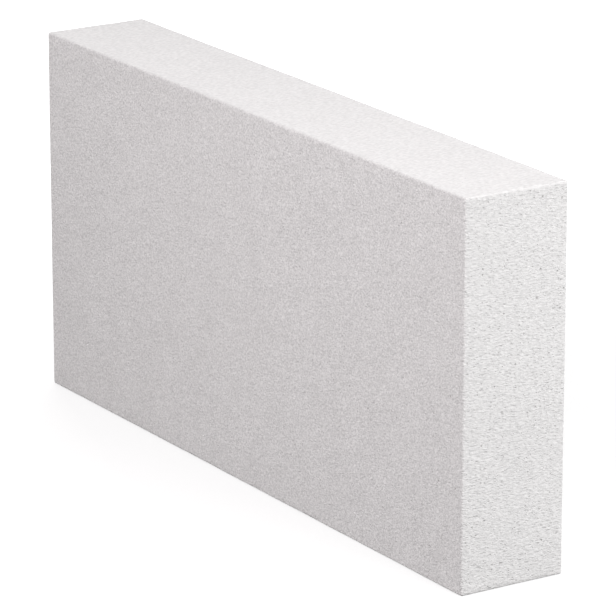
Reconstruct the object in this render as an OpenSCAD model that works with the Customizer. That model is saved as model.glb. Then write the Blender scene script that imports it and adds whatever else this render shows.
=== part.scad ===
// Aerated concrete partition block: one plain cuboid, wire-cut on all six faces, standing on its long bed face.
// The origin is at the middle of the lower bed face. X runs along the length, Y through the wall, Z up.

/* [Block] */
// Length between the two end faces, along the course
block_length = 600; // [200:5:800]
// Height between the lower and the upper bed face
block_height = 300; // [100:5:600]
// Thickness between the two wall faces
block_thickness = 90; // [40:5:500]

/* [Edges] */
// Radius that the long edges of the bed faces are eased to
bed_edge_radius = 2; // [0.5:0.25:8]
// Radius that the upright edges between wall faces and end faces are eased to
upright_edge_radius = 2; // [0.5:0.25:8]
// Radius that the short edges between bed faces and end faces are eased to
end_edge_radius = 2; // [0.5:0.25:8]

/* [Hidden] */
// Sides of a full circle where an edge is eased
$fn = 48;
// How far each of the three crossed prisms runs past the block at either end
prism_overrun = 5;

// A rectangle centred on the origin, with its four corners eased to an arc
module eased_rectangle(width, depth, radius) {
    square([width - 2 * radius, depth], center = true);
    square([width, depth - 2 * radius], center = true);
    for (x = [-1, 1], y = [-1, 1])
        translate([x * (width / 2 - radius), y * (depth / 2 - radius)])
            circle(r = radius);
}

// A prism of that section, centred on the origin, longer than the block by the overrun at either end
module eased_prism(width, depth, radius, block_run) {
    linear_extrude(height = block_run + 2 * prism_overrun, center = true)
        eased_rectangle(width, depth, radius);
}

// The block is what three crossed prisms share: each one eases the four edges that run along it
module block() {
    color([0.88, 0.87, 0.86])
        translate([0, 0, block_height / 2])
            intersection() {
                eased_prism(block_length, block_thickness, upright_edge_radius, block_height);
                rotate([90, 0, 0])
                    eased_prism(block_length, block_height, end_edge_radius, block_thickness);
                rotate([90, 0, 90])
                    eased_prism(block_thickness, block_height, bed_edge_radius, block_length);
            }
}

block();
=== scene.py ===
import itertools
import math

import bpy
import numpy as np
from mathutils import Matrix, Vector


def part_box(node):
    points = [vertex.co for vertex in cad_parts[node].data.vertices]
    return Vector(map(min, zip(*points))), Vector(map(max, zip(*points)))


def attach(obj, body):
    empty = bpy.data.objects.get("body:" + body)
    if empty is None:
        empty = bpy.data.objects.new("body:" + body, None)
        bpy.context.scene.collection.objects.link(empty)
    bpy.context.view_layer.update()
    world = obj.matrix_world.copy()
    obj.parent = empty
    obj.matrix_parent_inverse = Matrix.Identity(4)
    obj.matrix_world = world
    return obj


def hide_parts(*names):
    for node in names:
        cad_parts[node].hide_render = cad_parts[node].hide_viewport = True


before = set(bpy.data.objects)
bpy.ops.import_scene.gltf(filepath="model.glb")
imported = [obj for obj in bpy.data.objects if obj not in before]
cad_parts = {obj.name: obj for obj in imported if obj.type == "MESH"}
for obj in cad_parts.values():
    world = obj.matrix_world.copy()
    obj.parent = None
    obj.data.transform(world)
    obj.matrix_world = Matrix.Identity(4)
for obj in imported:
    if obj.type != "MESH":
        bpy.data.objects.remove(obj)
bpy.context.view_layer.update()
blockLow, blockHigh = (np.array(corner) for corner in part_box("block"))
blockMiddle = (blockLow + blockHigh) / 2
blockHalf = (blockHigh - blockLow) / 2
print("frame loaded, block measures", np.round(2 * blockHalf, 4), "metres")


# Camera: a long lens, above the block and well round towards its right end
photoCamera = {
    "azimuth": 57.415,  # degrees round from straight in front of the wall face
    "elevation": 16.952,  # degrees above the horizon
    "distance": 3.4505,  # metres from the middle of the block
    "slideRight": 0.01269,  # metres that the lens axis passes to the right of the middle
    "slideUp": -0.01463,  # and above it
    "lens": 260.42,  # millimetres, as the sensor is
    "sensor": 36.0,
}


# back = (sin a cos e, -cos a cos e, sin e) points from block to lens, right = Z x back, up = back x right
def placeCamera(spec):
    azimuth, elevation = math.radians(spec["azimuth"]), math.radians(spec["elevation"])
    level = math.cos(elevation)
    back = Vector((math.sin(azimuth) * level, -math.cos(azimuth) * level, math.sin(elevation)))
    right = Vector((0, 0, 1)).cross(back).normalized()
    up = back.cross(right)
    place = Vector(blockMiddle) + spec["slideRight"] * right + spec["slideUp"] * up + spec["distance"] * back
    lens = bpy.data.cameras.new("photoCamera")
    lens.lens = spec["lens"]
    lens.sensor_width = spec["sensor"]
    camera = bpy.data.objects.new("photoCamera", lens)
    camera.matrix_world = Matrix.Translation(place) @ Matrix((right, up, back)).transposed().to_4x4()
    bpy.context.scene.collection.objects.link(camera)
    bpy.context.scene.camera = camera


placeCamera(photoCamera)
print("camera placed")


# Block: one closed skin of six wire-cut faces, with eased edges and open pores sunk into it; all in metres
blockShape = {
    "edgeRadius": 0.002,  # how far the edges are eased
    "edgeRadiusSpread": 0.0003,  # how much that changes along an edge
    "edgeRadiusLength": 0.021,  # and over what length
    "chipRadius": 0.0009,  # what a crumbled spot adds to it
    "chipLength": 0.0085,
    "chipShare": 0.78,  # noise above this crumbles: 1 leaves the edges whole
    "edgeLines": (0, 0.0004, 0.0009, 0.0014, 0.002, 0.0044, 0.0072, 0.0104),  # grid lines beside an edge
    "lineSpacing": 0.0036,  # and between them
    "waviness": 0.00012,  # depth of the long waves that the wire leaves
    "waveLength": 0.07,
    "unevenness": 0.00006,  # depth of the short ones
    "unevenLength": 0.009,
    "seed": 11,
}

# Pores wide enough to be modelled; the first three lines are for the ends, the wall faces and the beds
openPores = {
    "perSquareMetre": (16000, 5000, 1200),
    "smallest": (0.0005, 0.0005, 0.0004),  # radius in metres
    "widest": (0.0013, 0.0012, 0.0009),
    "smallLean": 1.7,  # 1 spreads the sizes evenly, more makes small pores more common
    "fill": 0.46,  # how far a pore may reach, as a share of its grid cell
    "depth": (0.4, 0.75),  # shares of the radius
    "flattened": (1.0, 1.5),  # width to height
    "ragged": 0.16,  # how far the rim strays from an ellipse
    "innerRing": 0.68,  # where the ring inside the rim lies, as a share of the radius
    "shade": (0.0, 0.7, 1.0),  # painted shade at the rim, at that ring and at the bottom
    "seed": 23,
}
rimCount = 8  # points round a pore: two for each corner of its cell


# Lines from low to high: the listed ones beside both edges, evenly spaced ones between
def gradedLines(low, high, spec):
    beside = np.array(spec["edgeLines"])
    first, last = low + beside[-1], high - beside[-1]
    count = int(round((last - first) / spec["lineSpacing"]))
    between = np.linspace(first, last, count + 1)[1:-1]
    return np.concatenate([low + beside, between, (high - beside)[::-1]])


# Six grids of whole-number points (i, j, k), one for each face; points with the same numbers are one vertex
def boxLattice(counts):
    cells, axes, sides = [], [], []
    for axis, side in itertools.product(range(3), (0, 1)):
        across, along = (axis + 1) % 3, (axis + 2) % 3
        column, row = np.meshgrid(np.arange(counts[across]), np.arange(counts[along]), indexing="ij")
        cell = np.zeros((column.size, 4, 3), dtype=np.int64)
        cell[:, :, axis] = side * counts[axis]
        cell[:, :, across] = column.reshape(-1, 1) + (0, 1, 1, 0)
        cell[:, :, along] = row.reshape(-1, 1) + (0, 0, 1, 1)
        cells.append(cell if side else cell[:, ::-1])  # corners run anticlockwise seen from outside
        axes.append(np.full(column.size, axis))
        sides.append(np.full(column.size, side))
    column, row, layer = np.moveaxis(np.concatenate(cells), -1, 0)
    rows, layers = counts[1] + 1, counts[2] + 1
    keys, quads = np.unique((column * rows + row) * layers + layer, return_inverse=True)
    lattice = np.stack([keys // (rows * layers), keys // layers % rows, keys % layers], axis=1)
    return lattice, quads.reshape(-1, 4), np.concatenate(axes), np.concatenate(sides)


# 0 below low, 1 above high, 3t^2 - 2t^3 between
def smoothStep(low, high, value):
    share = np.clip((value - low) / (high - low), 0, 1)
    return share * share * (3 - 2 * share)


# Value noise from 0 to 1: random numbers at the corners of a cubic lattice, blended by 3t^2 - 2t^3 each way
def smoothNoise(points, cellSize, seed):
    side = 32  # lattice cells before the numbers repeat
    table = np.random.default_rng(seed).random((side, side, side))
    place = points / cellSize + side
    base = np.floor(place).astype(int)
    share = smoothStep(0, 1, place - base)
    total = np.zeros(len(points))
    for step in itertools.product((0, 1), repeat=3):
        weight = np.where(step, share, 1 - share).prod(axis=1)
        total += weight * table[tuple(((base + step) % side).T)]
    return total


# A point of the sharp box goes to the nearest point of a box drawn in by the radius, then out by the radius
def easedBox(flat, half, radius):
    core = np.clip(flat, radius - half, half - radius)
    away = flat - core
    outward = away / np.linalg.norm(away, axis=1, keepdims=True)
    return core + radius * outward, outward


# Skin of the block: the eased box, with a radius that wanders along the edges, then sunk by shallow waves
def blockSkin(spec):
    lines = [gradedLines(-half, half, spec) for half in blockHalf]
    lattice, quads, axes, sides = boxLattice([len(line) - 1 for line in lines])
    flat = np.stack([line[lattice[:, axis]] for axis, line in enumerate(lines)], axis=1)
    seed = spec["seed"]
    wander = 2 * smoothNoise(flat, spec["edgeRadiusLength"], seed) - 1
    chips = smoothStep(spec["chipShare"], 1, smoothNoise(flat, spec["chipLength"], seed + 1))
    radius = spec["edgeRadius"] + spec["edgeRadiusSpread"] * wander + spec["chipRadius"] * chips
    eased, outward = easedBox(flat, blockHalf, radius[:, None])
    depth = spec["waviness"] * smoothNoise(flat, spec["waveLength"], seed + 2)
    depth += spec["unevenness"] * smoothNoise(flat, spec["unevenLength"], seed + 3)
    return eased - depth[:, None] * outward + blockMiddle, outward, quads, axes, sides


# Cells that hold a pore: each with a chance of its area times the pores for each square metre of its face
def poreCells(points, quads, axes, random, spec):
    corner = points[quads]
    width = np.linalg.norm(corner[:, 1] - corner[:, 0], axis=1)
    height = np.linalg.norm(corner[:, 3] - corner[:, 0], axis=1)
    room = spec["fill"] * np.minimum(width, height)
    chance = width * height * np.array(spec["perSquareMetre"])[axes]
    smallest = np.array(spec["smallest"])[axes]
    cells = np.flatnonzero((random.random(len(quads)) < chance) & (room > smallest))
    return cells, room[cells]


# Unit vectors of each cell: out of the face, level along it and up it; on a bed, level is along the block
def cellFrames(corner, facing):
    normal = np.cross(corner[:, 2] - corner[:, 0], corner[:, 3] - corner[:, 1])
    normal /= np.linalg.norm(normal, axis=1, keepdims=True)
    level = np.where((facing == 2)[:, None], (1.0, 0.0, 0.0), np.cross((0.0, 0.0, 1.0), normal))
    level /= np.linalg.norm(level, axis=1, keepdims=True)
    return normal, level, np.cross(normal, level)


# Radius small (wide / small)^(t^lean) for a random t, then widened and lowered by the root of the flattening
def poreSizes(room, facing, random, spec):
    count = len(facing)
    small, wide = np.array(spec["smallest"])[facing], np.array(spec["widest"])[facing]
    radius = np.minimum(small * (wide / small) ** (random.random(count) ** spec["smallLean"]), room)
    flattened = random.uniform(*spec["flattened"], count)
    halfWidth = np.minimum(radius * np.sqrt(flattened), room)
    halfHeight = radius / np.sqrt(flattened)
    depth = radius * random.uniform(*spec["depth"], count)
    return halfWidth, halfHeight, depth


# Four-cornered walls from rim to ring, and triangles from the cell's corners to the rim and ring to bottom
def poreFaces(start, quads, corner, level, rise):
    count = len(quads)
    rim = start + np.arange(count * rimCount).reshape(count, rimCount)
    ring = rim + count * rimCount
    bottom = start + 2 * count * rimCount + np.arange(count)
    spoke = corner - corner.mean(axis=1, keepdims=True)
    turn = np.arctan2((spoke * rise[:, None]).sum(2), (spoke * level[:, None]).sum(2)) % (2 * math.pi)
    cell = np.take_along_axis(quads, np.argsort(turn, axis=1), axis=1)
    quarter = np.arange(4)
    atCorner, beforeCorner, afterCorner = 2 * quarter + 1, 2 * quarter, (2 * quarter + 2) % rimCount
    nextPoint = (np.arange(rimCount) + 1) % rimCount
    walls = np.stack([rim, rim[:, nextPoint], ring[:, nextPoint], ring], axis=2).reshape(-1, 4)
    triangles = [
        (rim[:, beforeCorner], cell, rim[:, atCorner]),
        (rim[:, atCorner], cell, rim[:, afterCorner]),
        (cell, cell[:, (quarter + 1) % 4], rim[:, afterCorner]),
        (ring, ring[:, nextPoint], np.repeat(bottom[:, None], rimCount, axis=1)),
    ]
    return walls, triangles


# A pore is a bowl of a ragged rim, a ring and a bottom, d sqrt(1 - s^2) deep at the share s of its radius
def porePieces(points, quads, axes, spec):
    random = np.random.default_rng(spec["seed"])
    cells, room = poreCells(points, quads, axes, random, spec)
    count, facing = len(cells), axes[cells]
    corner = points[quads[cells]]
    normal, level, rise = cellFrames(corner, facing)
    halfWidth, halfHeight, depth = poreSizes(room, facing, random, spec)
    stray = random.uniform(-1, 1, (2, count)) * (room - np.maximum(halfWidth, halfHeight))
    middle = corner.mean(axis=1) + stray[0][:, None] * level + stray[1][:, None] * rise

    angle = np.arange(rimCount) * 2 * math.pi / rimCount
    ragged = 1 - spec["ragged"] * random.random((count, rimCount))
    across = (halfWidth[:, None] * ragged * np.cos(angle))[:, :, None] * level[:, None]
    upright = (halfHeight[:, None] * ragged * np.sin(angle))[:, :, None] * rise[:, None]
    share = spec["innerRing"]
    sink = depth[:, None] * normal
    rim = middle[:, None] + across + upright
    ring = middle[:, None] + share * (across + upright) - math.sqrt(1 - share**2) * sink[:, None]

    start, rimTotal = len(points), count * rimCount
    walls, triangles = poreFaces(start, quads[cells], corner, level, rise)
    rimNormal = normal.repeat(rimCount, axis=0)
    return {
        "cells": cells,
        "points": np.concatenate([rim.reshape(-1, 3), ring.reshape(-1, 3), middle - sink]),
        "shade": np.repeat(spec["shade"], (rimTotal, rimTotal, count)),
        "outward": np.concatenate([rimNormal, rimNormal, normal]),
        "walls": walls,
        "wallCell": cells.repeat(rimCount),
        "triangles": np.concatenate([np.stack(part, axis=2).reshape(-1, 3) for part in triangles]),
        "triangleCell": np.concatenate([cells.repeat(part[0].shape[1]) for part in triangles]),
        "rimStart": start,
        "rimEnd": start + rimTotal,
    }


# Flat layout of the six faces on one sheet: wall faces, then beds above them, ends in a column beside them
def flatLayout(points, axes, sides):
    size = 2 * blockHalf
    gap = 0.01  # metres between two faces
    columns, rows = np.array((1, 0, 0))[axes], np.array((2, 2, 1))[axes]  # for an end, a wall face and a bed
    bedRow = 2 * (size[2] + gap)
    left = np.where(axes == 0, size[0] + gap, 0)
    low = np.where(axes == 2, bedRow + sides * (size[1] + gap), sides * (size[2] + gap))
    sheet = bedRow + 2 * (size[1] + gap)
    u = np.take_along_axis(points - blockLow, columns[:, None], axis=1)[:, 0] + left
    v = np.take_along_axis(points - blockLow, rows[:, None], axis=1)[:, 0] + low
    return np.stack([u, v], axis=1) / sheet


# A number at each point of the mesh, for the material to read
def addFloats(mesh, name, values):
    mesh.attributes.new(name, "FLOAT", "POINT").data.foreach_set("value", values.astype(np.float32))


# The skin's cells, with each one that holds a pore swapped for the pieces of that pore
def makeBlock():
    points, outward, quads, axes, sides = blockSkin(blockShape)
    pores = porePieces(points, quads, axes, openPores)
    whole = np.ones(len(quads), bool)
    whole[pores["cells"]] = False
    squares = np.concatenate([quads[whole], pores["walls"]])
    squareCell = np.concatenate([np.flatnonzero(whole), pores["wallCell"]])
    triangles, triangleCell = pores["triangles"], pores["triangleCell"]
    allPoints = np.concatenate([points, pores["points"]])
    allOutward = np.concatenate([outward, pores["outward"]])

    mesh = bpy.data.meshes.new("concreteBlock")
    mesh.from_pydata(allPoints.tolist(), [], squares.tolist() + triangles.tolist())
    mesh.polygons.foreach_set("use_smooth", np.ones(len(mesh.polygons), bool))
    edgeEnds = np.zeros(len(mesh.edges) * 2, np.int32)
    mesh.edges.foreach_get("vertices", edgeEnds)
    onRim = (edgeEnds >= pores["rimStart"]) & (edgeEnds < pores["rimEnd"])
    mesh.edges.foreach_set("use_edge_sharp", onRim.reshape(-1, 2).all(axis=1))

    facing = allOutward**2  # shares of the end, wall and bed look, which blend over an eased edge
    addFloats(mesh, "endLook", facing[:, 0])
    addFloats(mesh, "bedLook", facing[:, 2])
    addFloats(mesh, "easedEdge", np.clip(2 - 2 * facing.max(axis=1), 0, 1))  # 0 on a face, 1 at 45 degrees
    addFloats(mesh, "poreShade", np.concatenate([np.zeros(len(points)), pores["shade"]]))

    corners = np.concatenate([squares.ravel(), triangles.ravel()])
    cornerCell = np.concatenate([squareCell.repeat(4), triangleCell.repeat(3)])
    sheet = mesh.uv_layers.new(name="OFBake")
    layout = flatLayout(allPoints[corners], axes[cornerCell], sides[cornerCell])
    sheet.uv.foreach_set("vector", layout.astype(np.float32).ravel())

    block = bpy.data.objects.new("concreteBlock", mesh)
    bpy.context.scene.collection.objects.link(block)
    print("block skin:", len(pores["cells"]), "pores,", 2 * len(squares) + len(triangles), "triangles")
    return block


# A new node: each input is filled with a number or colour, or linked where a socket is given
def addNode(tree, kind, inputs, **settings):
    node = tree.nodes.new(kind)
    for name, value in settings.items():
        setattr(node, name, value)
    for name, value in inputs.items():
        if isinstance(value, bpy.types.NodeSocket):
            tree.links.new(value, node.inputs[name])
        else:
            node.inputs[name].default_value = value
    return node


# One step of arithmetic
def calculate(tree, operation, *values):
    return addNode(tree, "ShaderNodeMath", dict(enumerate(values)), operation=operation).outputs[0]


# A value from low to high becomes one from toLow to toHigh, and stays between them
def spread(tree, value, low, high, toLow, toHigh, kind="LINEAR"):
    inputs = {"Value": value, "From Min": low, "From Max": high, "To Min": toLow, "To Max": toHigh}
    return addNode(tree, "ShaderNodeMapRange", inputs, interpolation_type=kind).outputs["Result"]


# The first colour, with a share of the second blended in
def tint(tree, blend, share, first, second):
    factor, colourA, colourB, result = 0, 6, 7, 2  # places of the colour sockets on a Mix node
    inputs = {factor: share, colourA: first, colourB: second}
    return addNode(tree, "ShaderNodeMix", inputs, data_type="RGBA", blend_type=blend).outputs[result]


# A number that the mesh holds at its points
def readFloat(tree, name):
    return addNode(tree, "ShaderNodeAttribute", {}, attribute_name=name).outputs["Fac"]


# wall + (end - wall) endLook + (bed - wall) bedLook: a number for each kind of face, blended over the edges
def byFace(tree, values):
    end, wall, bed = values
    withEnds = calculate(tree, "MULTIPLY_ADD", readFloat(tree, "endLook"), end - wall, wall)
    return calculate(tree, "MULTIPLY_ADD", readFloat(tree, "bedLook"), bed - wall, withEnds)


# A place scaled along the block's axes, which draws a pattern out, and then turned
def stretched(tree, place, stretch, turn):
    inputs = {"Vector": place, "Scale": stretch, "Rotation": turn}
    return addNode(tree, "ShaderNodeMapping", inputs).outputs["Vector"]


noiseRange = (0.3, 0.7)  # where nearly all values of a noise lie


# Noise with so many cells to the metre, and finer octaves on top
def noise(tree, place, perMetre, detail):
    inputs = {"Vector": place, "Scale": perMetre, "Detail": detail}
    return addNode(tree, "ShaderNodeTexNoise", inputs).outputs["Fac"]


# Fine pits: bubbles in a Voronoi lattice, cut by the face; a share of them is open, each with its own width
pitShape = {
    "width": (0.28, 0.6),  # radius of the narrowest and the widest, in lattice cells
    "floor": 0.25,  # share of the radius at full depth
}


# Depth 1 out to the floor's share of the radius, then 3t^2 - 2t^3 up to 0 at the rim
def makePitGroup(spec):
    group = bpy.data.node_groups.new("finePits", "ShaderNodeTree")
    sockets = {"Vector": "NodeSocketVector", "Per Metre": "NodeSocketFloat", "Open Share": "NodeSocketFloat"}
    for name, kind in sockets.items():
        group.interface.new_socket(name, in_out="INPUT", socket_type=kind)
    group.interface.new_socket("Pit", in_out="OUTPUT", socket_type="NodeSocketFloat")
    given = group.nodes.new("NodeGroupInput")
    lattice = {"Vector": given.outputs["Vector"], "Scale": given.outputs["Per Metre"]}
    bubbles = addNode(group, "ShaderNodeTexVoronoi", lattice)
    own = addNode(group, "ShaderNodeSeparateColor", {"Color": bubbles.outputs["Color"]})
    width = spread(group, own.outputs["Green"], 0, 1, *spec["width"])
    reach = calculate(group, "DIVIDE", bubbles.outputs["Distance"], width)
    bowl = spread(group, reach, spec["floor"], 1, 1, 0, "SMOOTHSTEP")
    isOpen = calculate(group, "LESS_THAN", own.outputs["Red"], given.outputs["Open Share"])
    pit = calculate(group, "MULTIPLY", bowl, isOpen)
    result = group.nodes.new("NodeGroupOutput")
    group.links.new(pit, result.inputs["Pit"])
    return group


# The pit group, placed with its own values
def openPits(tree, group, place, perMetre, openShare):
    inputs = {"Vector": place, "Per Metre": perMetre, "Open Share": openShare}
    return addNode(tree, "ShaderNodeGroup", inputs, node_tree=group).outputs["Pit"]


# Aerated concrete: matt white-grey with a crumbly grain, fine pits with painted shade, and eased edges
# made lighter by dust and a painted highlight
concreteLook = {
    "colour": (0.738, 0.732, 0.73, 1),
    "dark": (0.9, 0.898, 0.897, 1),  # what dark grain and dark patches multiply the colour by
    "pitShadeColour": (0.93, 0.927, 0.925, 1),  # what a fine pit multiplies the colour by: painted shade in the pit
    "poreShadeColour": (0.87, 0.866, 0.864, 1),  # painted shade at the bottom of an open pore: what it multiplies the colour by
    # lighter colour of the eased edges: partly dust, partly a painted highlight
    "dustAndHighlightColour": (0.78, 0.775, 0.77, 1),
    "grain": (800.0, 2.0),  # noise cells for each metre, and finer octaves on top
    "grainStretch": (0.85, 0.42, 1.0),  # the wire draws the grain out sideways
    # speckle: light and dark flecks, partly the grain's own tone, partly painted shade of pores too fine to
    # model
    "speckle": (640.0, 1.0),
    "speckleStretch": (0.9, 0.45, 1.0),
    "mottle": (42.0, 4.0),  # stretched as the grain is
    "latticeTurn": (0.6, 0.9, 0.4),  # radians, so that no face lies along the noise's lattice
    "grainAmount": (0.51, 0.42, 0.21),  # on the ends, the wall faces and the beds, as in the next two
    "speckleSwing": (0.14, 0.28, 0.15),  # lightest to darkest; partly painted light and shade of relief too fine to model
    "patchAmount": (0.15, 0.4, 0.15),
    "coarsePits": (560.0, 0.2),  # lattice cells for each metre, and the share of them that is open
    "finePits": (950.0, 0.4),
    "finePitStrength": 0.7,  # beside a coarse pit
    "pitDepth": 0.4,  # beside the height of the grain
    "edgeDustAndHighlight": 0.3,  # how much of the lighter colour an eased edge takes: dust and a painted highlight
    "relief": 0.0024,  # metres of bump over the whole height of the grain, where its amount is 1
    "roughness": (0.86, 0.97),  # in the low grain and on the high
    "specular": 0.2,
    "diffuseRoughness": 0.5,
}


# Colour: grain, speckle (partly painted shade), patches and painted shade in the pits and pores multiply it
# in turn, and dust with a painted highlight lightens the eased edges;
# bump: the grain, less the pits, times the grain's amount on that face
def makeConcrete(look, pitGroup):
    material = bpy.data.materials.new("aeratedConcrete")
    material.use_nodes = True
    tree = material.node_tree
    shader = tree.nodes["Principled BSDF"]
    place = addNode(tree, "ShaderNodeTexCoord", {}).outputs["Object"]
    drawn = stretched(tree, place, look["grainStretch"], look["latticeTurn"])
    flecked = stretched(tree, place, look["speckleStretch"], look["latticeTurn"])
    grain = noise(tree, drawn, *look["grain"])
    speckle = noise(tree, flecked, *look["speckle"])
    mottle = noise(tree, drawn, *look["mottle"])
    coarse = openPits(tree, pitGroup, drawn, *look["coarsePits"])
    fine = openPits(tree, pitGroup, drawn, *look["finePits"])
    pit = calculate(tree, "MAXIMUM", coarse, calculate(tree, "MULTIPLY", fine, look["finePitStrength"]))
    amount = byFace(tree, look["grainAmount"])

    grainShare = calculate(tree, "MULTIPLY", spread(tree, grain, *noiseRange, 1, 0), amount)
    colour = tint(tree, "MULTIPLY", grainShare, look["colour"], look["dark"])
    # Speckle: random tone, partly painted light and shade of pores and relief too fine to model
    fleck = spread(tree, speckle, *noiseRange, 0.5, -0.5)
    fleck = calculate(tree, "MULTIPLY_ADD", fleck, byFace(tree, look["speckleSwing"]), 1.0)
    colour = tint(tree, "MULTIPLY", 1.0, colour, fleck)
    patches = spread(tree, mottle, *noiseRange, 1, 0)
    patches = calculate(tree, "MULTIPLY", patches, byFace(tree, look["patchAmount"]))
    colour = tint(tree, "MULTIPLY", patches, colour, look["dark"])
    # Painted shade: the fine pits darken the colour, since bump alone casts no shadow in them
    colour = tint(tree, "MULTIPLY", calculate(tree, "MULTIPLY", pit, amount), colour, look["pitShadeColour"])
    # Painted shade: the open pores darken towards their bottoms, on top of their modelled shading
    colour = tint(tree, "MULTIPLY", readFloat(tree, "poreShade"), colour, look["poreShadeColour"])
    # Dust and a painted highlight: the eased edges take a lighter colour
    dustAndHighlight = calculate(tree, "MULTIPLY", readFloat(tree, "easedEdge"), look["edgeDustAndHighlight"])
    colour = tint(tree, "MIX", dustAndHighlight, colour, look["dustAndHighlightColour"])
    tree.links.new(colour, shader.inputs["Base Color"])

    tree.links.new(spread(tree, grain, *noiseRange, *look["roughness"]), shader.inputs["Roughness"])
    shader.inputs["Specular IOR Level"].default_value = look["specular"]
    shader.inputs["Diffuse Roughness"].default_value = look["diffuseRoughness"]

    height = calculate(tree, "SUBTRACT", grain, calculate(tree, "MULTIPLY", pit, look["pitDepth"]))
    height = calculate(tree, "MULTIPLY", height, amount)
    bump = addNode(tree, "ShaderNodeBump", {"Strength": 1.0, "Distance": look["relief"], "Height": height})
    tree.links.new(bump.outputs["Normal"], shader.inputs["Normal"])
    return material


block = makeBlock()
block.data.materials.append(makeConcrete(concreteLook, makePitGroup(pitShape)))
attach(block, "root")
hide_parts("block")
print("block finished")


# Studio: a pale floor that reads as white paper, a white surround, and three soft boxes
studio = {
    "floorSize": 80.0,  # metres
    "floorColour": (0.45, 0.45, 0.45, 1),  # where it is seen
    "floorBounce": (0.15, 0.15, 0.15, 1),  # what it sends back to the block
    "glowNear": 0.63,  # what the paper adds where it is seen, beside the block
    "glowFar": 1.0,  # and away from it, where it is plain white
    "glowReach": (0.4, 1.0),  # metres from the block over which it grows
    "surround": (1.0, 0.995, 0.994, 1),
    "surroundLevel": 0.45,  # as light on the block; where it is seen, it is 1
}

# Where each soft box stands, its width in metres, its watts and its tint; all of them face the block
softBoxes = {
    "endBox": {"place": (1.60, 0.60, 0.68), "size": 1.2, "watts": 25.4, "tint": (1.0, 1.0, 1.0)},
    "frontBox": {"place": (0.37, -1.25, 0.88), "size": 1.2, "watts": 16.3, "tint": (1.0, 0.953, 0.969)},
    "backBox": {"place": (-2.2, 1.1, 0.34), "size": 1.2, "watts": 46.0, "tint": (1.0, 1.0, 1.0)},
}


# Rays that show the studio itself: seen straight, in a reflection or through glass
def seenDirectly(tree):
    path = addNode(tree, "ShaderNodeLightPath", {})
    seen = calculate(tree, "MAXIMUM", path.outputs["Is Camera Ray"], path.outputs["Is Glossy Ray"])
    return calculate(tree, "MAXIMUM", seen, path.outputs["Is Transmission Ray"])


# A square of paper that takes the block's shadow; where it is seen, its glow grows away from the block
def makeFloor(spec):
    corners = spec["floorSize"] / 2 * np.array(((-1, -1, 0), (1, -1, 0), (1, 1, 0), (-1, 1, 0)))
    mesh = bpy.data.meshes.new("paperFloor")
    mesh.from_pydata(corners.tolist(), [], [(0, 1, 2, 3)])
    material = bpy.data.materials.new("palePaper")
    material.use_nodes = True
    tree = material.node_tree
    tree.nodes.remove(tree.nodes["Principled BSDF"])
    seen = seenDirectly(tree)
    colour = tint(tree, "MIX", seen, spec["floorBounce"], spec["floorColour"])
    paper = addNode(tree, "ShaderNodeBsdfDiffuse", {"Color": colour})
    place = addNode(tree, "ShaderNodeTexCoord", {}).outputs["Object"]
    away = addNode(tree, "ShaderNodeVectorMath", {0: place}, operation="LENGTH").outputs["Value"]
    level = spread(tree, away, *spec["glowReach"], spec["glowNear"], spec["glowFar"], "SMOOTHSTEP")
    level = calculate(tree, "MULTIPLY", seen, level)
    glow = addNode(tree, "ShaderNodeEmission", {"Strength": level})
    both = addNode(tree, "ShaderNodeAddShader", {0: paper.outputs[0], 1: glow.outputs[0]})
    tree.links.new(both.outputs[0], tree.nodes["Material Output"].inputs["Surface"])
    mesh.materials.append(material)
    floor = bpy.data.objects.new("paperFloor", mesh)
    bpy.context.scene.collection.objects.link(floor)


# The world: even light from all sides, and plain white where it is seen
def makeSurround(spec):
    world = bpy.data.worlds.new("whiteSurround")
    bpy.context.scene.world = world
    world.use_nodes = True
    tree = world.node_tree
    level = spread(tree, seenDirectly(tree), 0, 1, spec["surroundLevel"], 1)
    back = tree.nodes["Background"]
    back.inputs["Color"].default_value = spec["surround"]
    tree.links.new(level, back.inputs["Strength"])


# A square lamp that stands at its place and faces the middle of the block
def makeSoftBox(name, spec):
    lamp = bpy.data.lights.new(name, "AREA")
    lamp.size = spec["size"]
    lamp.energy = spec["watts"]
    lamp.color = spec["tint"]
    box = bpy.data.objects.new(name, lamp)
    place = Vector(spec["place"])
    turn = (place - Vector(blockMiddle)).to_track_quat("Z", "Y").to_matrix().to_4x4()
    box.matrix_world = Matrix.Translation(place) @ turn
    box.visible_camera = False
    bpy.context.scene.collection.objects.link(box)


makeFloor(studio)
makeSurround(studio)
for name, spec in softBoxes.items():
    makeSoftBox(name, spec)
bpy.context.scene.view_settings.view_transform = "Standard"
print("studio lit")
